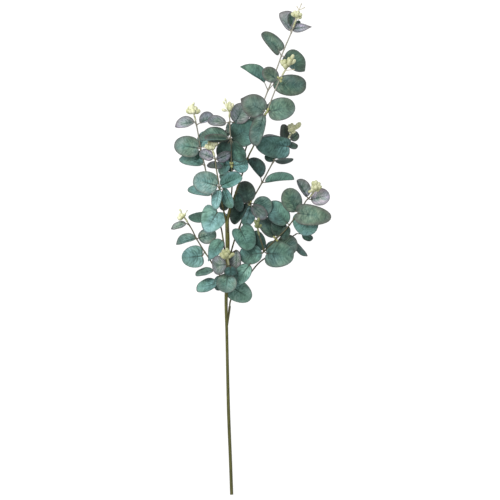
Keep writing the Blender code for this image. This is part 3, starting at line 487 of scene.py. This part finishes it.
# The bark's colours and how finely its streaks and blotches repeat, each for a metre.
BARK_ROUGHNESS = 0.5
BARK_SHINE = 0.35
BARK_STREAKS = (900, 45, 900)
BARK_BLOTCHES = 60
BARK_STREAK_DEPTH = 0.0003
BARK_OLD_DARK = (0.035, 0.038, 0.005)
BARK_OLD_LIGHT = (0.115, 0.115, 0.022)
BARK_YOUNG_BROWN = (0.065, 0.062, 0.03)
BARK_YOUNG_BEIGE = (0.3, 0.29, 0.24)
BARK_BLOTCH = (0.085, 0.075, 0.045)
BARK_PORE = (0.2, 0.19, 0.09)
BARK_KNUCKLE = (0.10, 0.08, 0.045)
BARK_SIDE_BUD = (0.3, 0.32, 0.12)

# The paint layer of a shoot holds how young its bark is, how near a knuckle is, and how much it is a bud.
bark = Finish("waxy_olive_bark", BARK_ROUGHNESS, BARK_SHINE)
bark_youth, bark_knuckle, bark_bud, _ = bark.painted("paint")
bark_streak = bark.cloud(bark.stretched(BARK_STREAKS), 1.0)
bark_patch = bark.cloud(bark.place(), BARK_BLOTCHES)
bark_up = bark.node("ShaderNodeSeparateXYZ", {}, {"Vector": bark.place()}, out="Y")
bark_young = bark.mix(bark_up.rise(0.05, 0.26), BARK_YOUNG_BROWN, BARK_YOUNG_BEIGE)
bark_young = bark.mix(bark_patch.rise(0.35, 0.75) * 0.3, bark_young, BARK_BLOTCH)
bark_old = bark.mix(bark_streak.rise(0.25, 0.75), BARK_OLD_DARK, BARK_OLD_LIGHT)
bark_skin = bark.mix(bark_youth, bark_old, bark_young)
bark_skin = bark.mix(bark_patch.rise(0.55, 0.75) * 0.25, bark_skin, BARK_PORE)
bark_skin = bark.mix(bark_knuckle * 0.6, bark_skin, BARK_KNUCKLE)
bark_skin = bark.mix(bark_bud, bark_skin, BARK_SIDE_BUD)
bark.feed(bark.shader.inputs["Base Color"], bark_skin)
bark.feed(bark.shader.inputs["Normal"], bark.bump(bark_streak, BARK_STREAK_DEPTH, 0.4))


def collar(bm, route, reach):
    """The collar on a stem that a side stem grows out of."""
    profile = [(reach * share, COLLAR_RADIUS * width) for share, width in COLLAR_SHAPE]
    profile += [(reach - back, COLLAR_RADIUS * width) for back, width in COLLAR_MOUTH]
    profile += [(reach, COLLAR_LIP_RADIUS), (reach - PEG_DEPTH, COLLAR_LIP_RADIUS)]
    round_rod(bm, route, profile, COLLAR_SIDES, lambda way: (0.25, 0.5 * way / reach, 0, 0))


trunk_route = Route(TRUNK_ROUTE)
head_of = {head.carrier: head for head in BUD_HEADS}
spray_routes = {}
for spray in SPRAYS:
    end = head_of.get(spray.name)
    spray_routes[spray.name] = Route([*spray.route, (end.x, end.y, end.z)] if end else spray.route)


def trunk_radius(way):
    """The main stem's radius, between those listed at its route points."""
    for start, end, wide, next_wide in zip(trunk_route.node_way, trunk_route.node_way[1:],
                                           TRUNK_RADII, TRUNK_RADII[1:]):
        if way <= end:
            break
    return wide + (next_wide - wide) * min((way - start) / (end - start), 1)


trunk_bm = bmesh.new()
trunk_profile = [(way, trunk_radius(way)) for way in trunk_route.way[::RING_STEP]]
round_rod(trunk_bm, trunk_route, trunk_profile, TRUNK_SIDES,
          lambda way: (0.25 * (1 - way / trunk_route.length), 0, 0, 0))
for spray in SPRAYS:
    if spray.carrier == "main_stem":
        collar(trunk_bm, spray_routes[spray.name], spray.sleeve)
finished("main_stem_shoot", trunk_bm, bark, ["main_stem"])

# Side stems. Eleven thin woody shoots, olive near the main stem and beige towards the tip, swollen where each
# pair of leaves grows. Some carry a few small buds there. Each shoot starts as a peg in its collar.
SHOOT_FOOT_RADIUS = 1.1
SHOOT_TIP_RADIUS = 0.85
SHOOT_SIDES = 10
PEG_RADIUS = 0.6
WIRE_RADIUS = 0.4
WIRE_LENGTH = 2.6

# A knuckle is the swelling where leaves grow. It has rings of its own, and no ring lies too near the last.
KNUCKLE_RINGS = (-2.4, -1.6, -0.8, 0, 0.8, 1.6, 2.4)
KNUCKLE_REACH = 1.5
KNUCKLE_SWELL = 0.32
KNUCKLE_STAIN_REACH = 2.2
RING_GAP = 0.25
END_GAP = 0.4

STALK_RADIUS = 0.8
SMALL_STALK_RADIUS = 0.65
STALK_TIP_RADIUS = 0.45
STALK_RISE = Vector((0, 0, 0.3))
STALK_IN_BLADE = 3
STALK_SIDES = 8
SMALL_LEAF = 18

# A bud's outline, as shares of its length and of its radius: a slim foot, a swollen cup and a blunt cap.
URN_SHAPE = [(0.12, 0.52), (0.28, 0.76), (0.45, 0.95), (0.6, 1), (0.7, 0.97), (0.73, 0.9), (0.82, 0.88),
             (0.91, 0.68), (0.97, 0.42), (1, 0.14)]
URN_FOOT_RADIUS = 0.6
URN_SLIMNESS = 3.8
URN_SIDES = 12


def swollen(route, start, end, thickness, nodes):
    """The profile of a stem that swells where its leaves grow."""
    knuckles = [route.node_way[k] for k in nodes]
    ways = [start] + [way for way in route.way if start + END_GAP < way < end - END_GAP]
    for knuckle in knuckles:
        ways += [knuckle + step for step in KNUCKLE_RINGS]
    profile = []
    for way in sorted(set(ways)) + [end]:
        if profile and way - profile[-1][0] < RING_GAP:
            continue
        swell = max([math.exp(-((way - knuckle) / KNUCKLE_REACH) ** 2) for knuckle in knuckles] or [0])
        profile.append((way, thickness(way) * (1 + KNUCKLE_SWELL * swell)))
    return profile


def urn(bm, root, offset, width, paint):
    """A bud from its root to its tip at an offset, on a thin foot where it is long."""
    line = Route([root, root + offset / 2, root + offset])
    bulb = min(line.length, URN_SLIMNESS * width)
    foot = line.length - bulb
    profile = [(0, URN_FOOT_RADIUS)] + ([(foot, URN_FOOT_RADIUS)] if foot > 1 else [])
    for share, size in URN_SHAPE:
        profile.append((foot + bulb * share, width * size))
    round_rod(bm, line, profile, URN_SIDES, lambda way: paint(way / line.length))


def leaf_axes(leaf):
    """The blade's directions: along to its tip, out to its left edge, and up out of its upper face."""
    turn = (Matrix.Rotation(math.radians(leaf.heading), 3, "Z")
            @ Matrix.Rotation(math.radians(-leaf.pitch), 3, "Y")
            @ Matrix.Rotation(math.radians(leaf.roll), 3, "X"))
    return turn.col[0], turn.col[1], turn.col[2]


def leaf_foot(leaf, route):
    """Where a leaf's stalk leaves its stem, and where its blade starts."""
    root = route.place(route.node_way[leaf.node]).translation
    return root, Vector((leaf.x, leaf.y, root.z + leaf.lift))


for spray in SPRAYS:
    route = spray_routes[spray.name]
    shoot_bm = bmesh.new()
    tip = route.node_way[len(spray.route) - 1]
    shoulder = spray.sleeve + FIT_GAP
    body_end = tip - WIRE_LENGTH if spray.name in head_of else tip
    growing = sorted({leaf.node for leaf in spray.leaves})
    profile = [(spray.sleeve - PEG_DEPTH + FIT_GAP, PEG_RADIUS), (shoulder, PEG_RADIUS)]
    profile += swollen(route, shoulder, body_end,
                       lambda way: SHOOT_FOOT_RADIUS + (SHOOT_TIP_RADIUS - SHOOT_FOOT_RADIUS) * way / tip,
                       [node for node in growing if node < len(spray.route) - 1])
    if spray.name in head_of:
        profile += [(body_end, WIRE_RADIUS), (tip, WIRE_RADIUS)]

    def shoot_paint(way):
        stains = [math.exp(-((way - route.node_way[k]) / KNUCKLE_STAIN_REACH) ** 2) for k in growing]
        knuckle = max(stains or [0])
        return (min(max((way - shoulder) / (0.6 * tip), 0), 1), 0.6 * knuckle, 0, 0)

    round_rod(shoot_bm, route, profile, SHOOT_SIDES, shoot_paint)
    for leaf in spray.leaves:
        root, foot = leaf_foot(leaf, route)
        inside = foot + leaf_axes(leaf)[0] * STALK_IN_BLADE
        stalk = Route([root, root.lerp(foot, 0.5) + STALK_RISE, foot, inside])
        thick = STALK_RADIUS if leaf.length > SMALL_LEAF else SMALL_STALK_RADIUS
        stalk_profile = [(way, thick - (thick - STALK_TIP_RADIUS) * way / stalk.length)
                         for way in stalk.way[::RING_STEP]]
        round_rod(shoot_bm, stalk, stalk_profile, STALK_SIDES, lambda way: (1, 0.45, 0, 0))
    for node, x, y, z, width in spray.side_buds:
        root = route.place(route.node_way[node]).translation
        urn(shoot_bm, root, Vector((x, y, z)), width, lambda share: (1, 0.15 + 0.2 * share, 0.8, 0))
    for other in SPRAYS:
        if other.carrier == spray.name:
            collar(shoot_bm, spray_routes[other.name], other.sleeve)
    finished(spray.name + "_shoot", shoot_bm, bark, [spray.name])

# Leaves. Thin, waxy round blades with a blue-green bloom, painted shade in the fold at the foot, faint side
# veins, soft mottling and a thin purple-brown rim. Each is folded a little at its midrib, cupped, and waved
# at its edge.
LEAF_ROWS = 14
LEAF_COLUMNS = 12
LEAF_THICKNESS = 0.45
LEAF_END_WIDTH = 0.7
LEAF_USUAL_WIDTH = 30
LEAF_WAVE = 0.5
LEAF_EDGE_CROWDING = 1.25
LEAF_LOBE_SHARE = 1.3
UV_MM = 100
FIRST_SEED = 100


def leaf_blade(bm, leaf, foot, draw):
    """One blade. Paint holds place from middle to rim, tone with painted shade, blush, and 1 on the
    underside.
    """
    paint = bm.verts.layers.float_color["paint"]
    uv = bm.loops.layers.uv["leaf_uv"]
    along, left, up = leaf_axes(leaf)
    fold = math.radians(leaf.fold)
    curl = math.radians(max(leaf.curl, 0.1))
    bend = leaf.length / curl
    swing = draw.uniform(0, 2 * math.pi)
    waves = draw.choice((2, 3))
    flat = {}
    verts = bmesh.ops.create_grid(bm, x_segments=LEAF_ROWS, y_segments=LEAF_COLUMNS, size=1)["verts"]
    for vert in verts:
        angle = (vert.co.x + 1) / 2 * math.pi
        side = math.copysign(1 - (1 - abs(vert.co.y)) ** LEAF_EDGE_CROWDING, vert.co.y)
        part = (1 - math.cos(angle)) / 2
        full = math.sin(angle)
        half = leaf.width / 2 * full * (1 - leaf.egg * math.cos(angle)) + LEAF_END_WIDTH / 2
        reach = abs(side) * half
        wave = LEAF_WAVE * side * side * full * math.sin(waves * math.pi * part + swing + side)
        lift = reach * math.sin(fold) + wave * leaf.width / LEAF_USUAL_WIDTH
        back = leaf.lobe * math.sin(abs(side) * math.pi / 2) * full * (1 + math.cos(angle)) / LEAF_LOBE_SHARE
        drawn = leaf.point * (1 - full) ** 3 if part > 0.5 else 0
        turn = curl * (part - 0.5)
        level = bend * (math.sin(turn) + math.sin(curl / 2)) + lift * math.sin(turn) - back + drawn
        height = bend * (math.cos(turn) - math.cos(curl / 2)) + lift * math.cos(turn)
        flat[vert] = (part * leaf.length / UV_MM, math.copysign(reach, side) / UV_MM)
        rim = math.hypot(math.cos(angle), side * full)
        vert[paint] = (rim, leaf.tone, leaf.blush, 0)
        vert.co = foot + level * along + math.copysign(reach * math.cos(fold), side) * left + height * up
    faces = list({face for vert in verts for face in vert.link_faces})
    for face in faces:
        for loop in face.loops:
            loop[uv].uv = flat[loop.vert]
    grown = bmesh.ops.extrude_face_region(bm, geom=faces, use_keep_orig=True)["geom"]
    under = [vert for vert in grown if isinstance(vert, bmesh.types.BMVert)]
    bmesh.ops.translate(bm, verts=under, vec=up * -LEAF_THICKNESS)
    for vert in under:
        vert[paint] = (*vert[paint][:3], 1)


# The blade's colours, and how finely its clouds, patches and grain repeat, each for a metre.
LEAF_ROUGHNESS = 0.5
LEAF_SHINE = 0.3
LEAF_CLOUDS = 45
LEAF_HUES = 30
LEAF_PATCHES = 150
LEAF_GRAIN = 700
LEAF_VEIN_SLANT = 0.7
LEAF_VEIN_DEPTH = 0.0005
LEAF_GREENS = [(0.0, (0.014, 0.033, 0.026)), (0.25, (0.036, 0.088, 0.072)), (0.5, (0.08, 0.185, 0.155)),
               (0.75, (0.155, 0.325, 0.285)), (1.0, (0.29, 0.5, 0.46))]
OLIVE_TINT = (1.04, 1.01, 0.91)
BLUE_TINT = (0.98, 0.98, 1.1)
SAGE_TINT = (1.4, 0.95, 0.85)
GREY_TINT = (1.78, 0.88, 1.14)
LEAF_BROWN_EDGE = (0.1, 0.085, 0.085)
LEAF_MIDRIB = (0.28, 0.38, 0.32)
LEAF_VEIN_AND_CREASE_SHADE = (0.018, 0.052, 0.042)
LEAF_UNDERSIDE = (0.2, 0.27, 0.26)
LEAF_RIM_LINE = (0.04, 0.036, 0.038)

skin = Finish("leaf_bloom", LEAF_ROUGHNESS, LEAF_SHINE)
skin_rim, skin_tone_and_shade, skin_blush, skin_under = skin.painted("paint")
skin_uv = skin.node("ShaderNodeUVMap", {"uv_map": "leaf_uv"}, {})
skin_split = skin.node("ShaderNodeSeparateXYZ", {}, {"Vector": skin_uv})
skin_along = Value(skin, skin_split.socket.node.outputs["X"])
skin_across = abs(Value(skin, skin_split.socket.node.outputs["Y"]))
skin_cloud = skin.cloud(skin.place(), LEAF_CLOUDS, 2.0)
skin_hue = skin.cloud(skin.place(), LEAF_HUES, 2.0)
skin_patch = skin.cloud(skin.place(), LEAF_PATCHES, 4.0)
skin_grain = skin.cloud(skin.place(), LEAF_GRAIN, 2.0)
vein_along = (skin_along - skin_across * LEAF_VEIN_SLANT) * 60
vein_place = skin.node("ShaderNodeCombineXYZ", {},
                       {"X": vein_along, "Y": skin_across * 22, "Z": skin_tone_and_shade * 20})
vein_streaks = skin.cloud(vein_place, 1.0, 2.5)
foot_share = 1 - skin_along.rise(0.08, 0.28)
# The crease mask paints shade: a thin dark line in the fold of the midrib near the foot.
crease = (1 - skin_across.rise(0.001, 0.016)) * foot_share
side_veins = (1 - vein_streaks.rise(0.35, 0.55)) * (1 - skin_across.rise(0.03, 0.16)) * foot_share
midrib = (1 - skin_across.rise(0.001, 0.007)) * (1 - skin_along.rise(0.1, 0.3))
# Tone holds the leaf's own colour and also painted shade, darker for a leaf that lies in shadow.
leaf_tone_and_shade = (skin_tone_and_shade * 0.9 + 0.09 + (skin_cloud - 0.5) * 0.8 + (skin_patch - 0.5) * 0.5
             + (vein_streaks.rise(0.2, 0.8) - 0.5) * 0.26 * skin_rim.rise(0.0, 0.25))
leaf_green = skin.node("ShaderNodeValToRGB", {}, {"Fac": leaf_tone_and_shade})
stops = leaf_green.socket.node.color_ramp.elements
while len(stops) < len(LEAF_GREENS):
    stops.new(0.5)
for stop, (where, colour) in zip(stops, LEAF_GREENS):
    stop.position = where
    stop.color = (*colour, 1)
leaf_olive = skin.mix(1.0, leaf_green, OLIVE_TINT, "MULTIPLY")
leaf_blue = skin.mix(1.0, leaf_green, BLUE_TINT, "MULTIPLY")
leaf_green = skin.mix(skin_hue.rise(0.35, 0.65), leaf_olive, leaf_blue)
leaf_sage = skin.mix(1.0, leaf_green, SAGE_TINT, "MULTIPLY")
leaf_grey = skin.mix(1.0, leaf_green, GREY_TINT, "MULTIPLY")
blush_mask = skin_blush * (0.5 + 0.5 * skin_rim) + (skin_patch - 0.5) * 0.6 * skin_blush.rise(0.05, 0.3)
leaf_skin = skin.mix(blush_mask.rise(0.0, 0.4), leaf_green, leaf_sage)
leaf_skin = skin.mix(blush_mask.rise(0.3, 0.9), leaf_skin, leaf_grey)
brown_edge = skin_rim.rise(0.6, 1.0) * (0.12 + skin_blush.rise(0.1, 0.5) * 0.4)
leaf_skin = skin.mix(brown_edge, leaf_skin, LEAF_BROWN_EDGE)
leaf_skin = skin.mix(midrib * 0.2, leaf_skin, LEAF_MIDRIB)
# Painted shade darkens the fold at the foot, and the side veins take their own darker green.
leaf_skin = skin.mix(crease * 0.75 + side_veins * 0.5, leaf_skin, LEAF_VEIN_AND_CREASE_SHADE)
leaf_skin = skin.mix(skin_under * 0.15, leaf_skin, LEAF_UNDERSIDE)
rim_mask = (skin_rim + (skin_patch - 0.5) * 0.06).rise(0.88, 0.99)
leaf_skin = skin.mix(rim_mask * (0.2 + skin_cloud.rise(0.35, 0.65) * 0.55), leaf_skin, LEAF_RIM_LINE)
skin.feed(skin.shader.inputs["Base Color"], leaf_skin)
skin.feed(skin.shader.inputs["Roughness"], skin_grain * 0.2 + LEAF_ROUGHNESS)
skin_height = skin_grain * 0.4 + vein_streaks * 0.3 - crease
skin.feed(skin.shader.inputs["Normal"], skin.bump(skin_height, LEAF_VEIN_DEPTH, 0.4))

for number, spray in enumerate(SPRAYS):
    if not spray.leaves:
        continue
    draw = random.Random(FIRST_SEED + number)
    leaf_bm = bmesh.new()
    leaf_bm.verts.layers.float_color.new("paint")
    leaf_bm.loops.layers.uv.new("leaf_uv")
    for leaf in spray.leaves:
        leaf_blade(leaf_bm, leaf, leaf_foot(leaf, spray_routes[spray.name])[1], draw)
    finished(spray.name + "_leaves", leaf_bm, skin, [spray.name], crease=60)

# Bud heads. Ten tight clusters of waxy, pale yellow-green gum-nut buds, each bud a small urn with a cap, some
# with thin prongs. Each head stands on a stalk that is pushed over the wire tip of its side stem.
HEAD_STALK_RADIUS = 1.3
HEAD_NECK_RADIUS = 0.85 * HEAD_STALK_RADIUS
HEAD_STALK_SIDES = 12
SOCKET_RADIUS = WIRE_RADIUS + FIT_GAP
SOCKET_EDGE = 0.5
SOCKET_ROOF = 1.3
BUDS_SUNK = 0.7
PRONG_SHAPE = [(0, 1), (0.7, 1), (0.92, 1.4), (1, 1)]
PRONG_RADIUS = 0.5
PRONG_SIDES = 8

# The buds' colours, and how finely their grain and patches repeat, each for a metre.
BUD_ROUGHNESS = 0.5
BUD_SHINE = 0.3
BUD_GRAIN = 450
BUD_PATCHES = 170
BUD_GRAIN_DEPTH = 0.0006
BUD_FOOT_OLIVE_AND_SHADE = (0.17, 0.19, 0.055)
BUD_TIP = (0.49, 0.5, 0.28)
BUD_CREAM = (0.84, 0.83, 0.63)
BUD_SPECK = (0.3, 0.31, 0.12)
BUD_OLIVE_AND_SHADE = (0.075, 0.105, 0.035)
PRONG_BROWN = (0.4, 0.34, 0.25)

# The paint layer of a head holds the place from foot to tip, how brown the bud is, and how pale its head is,
# where a low pale also paints shade over a head in shadow.
bud_wax = Finish("pale_bud_wax", BUD_ROUGHNESS, BUD_SHINE)
bud_share, bud_brown, bud_pale_and_lit, _ = bud_wax.painted("paint")
bud_grain = bud_wax.cloud(bud_wax.place(), BUD_GRAIN)
bud_patch = bud_wax.cloud(bud_wax.place(), BUD_PATCHES, 2.0)
# Each bud darkens from tip to foot: partly its own olive foot, partly painted shade in the gaps between buds.
bud_skin = bud_wax.mix(bud_share, BUD_FOOT_OLIVE_AND_SHADE, BUD_TIP)
bud_skin = bud_wax.mix(bud_patch.rise(0.35, 0.6) * bud_pale_and_lit.rise(0.4, 1.0) * 0.7, bud_skin, BUD_CREAM)
bud_skin = bud_wax.mix(bud_grain.rise(0.45, 0.7) * 0.5, bud_skin, BUD_SPECK)
# A low pale paints shade: the whole head is darkened towards olive where it lies in shadow.
bud_skin = bud_wax.mix((1 - bud_pale_and_lit) * 0.8, bud_skin, BUD_OLIVE_AND_SHADE)
bud_skin = bud_wax.mix(bud_brown, bud_skin, PRONG_BROWN)
bud_wax.feed(bud_wax.shader.inputs["Base Color"], bud_skin)
bud_wax.feed(bud_wax.shader.inputs["Normal"], bud_wax.bump(bud_grain, BUD_GRAIN_DEPTH, 0.5))

for head in BUD_HEADS:
    carrier = next(spray for spray in SPRAYS if spray.name == head.carrier)
    route = spray_routes[head.carrier]
    tip = route.node_way[len(carrier.route) - 1]
    mouth = tip - WIRE_LENGTH + FIT_GAP
    head_bm = bmesh.new()
    profile = [(tip + FIT_GAP, SOCKET_RADIUS), (mouth, SOCKET_RADIUS), (mouth, HEAD_NECK_RADIUS),
               (mouth + SOCKET_EDGE, HEAD_STALK_RADIUS), (tip + SOCKET_ROOF, HEAD_STALK_RADIUS),
               (route.length, HEAD_NECK_RADIUS)]
    round_rod(head_bm, route, profile, HEAD_STALK_SIDES, lambda way: (0.6, 0.15, head.pale, 0))
    crown = Vector((head.x, head.y, head.z))
    inside = route.place(route.length - BUDS_SUNK).translation
    for x, y, z, width in head.buds:
        offset = crown + Vector((x, y, z)) - inside
        urn(head_bm, inside, offset, width, lambda share: (0.1 + 0.9 * share, 0, head.pale, 0))
    for start, end in head.prongs:
        start, end = crown + Vector(start), crown + Vector(end)
        line = Route([start, start.lerp(end, 0.5), end])
        profile = [(line.length * share, PRONG_RADIUS * width) for share, width in PRONG_SHAPE]
        round_rod(head_bm, line, profile, PRONG_SIDES, lambda way: (0.6, 0.7, head.pale, 0))
    finished(head.name + "_cluster", head_bm, bud_wax, [head.name], crease=50)
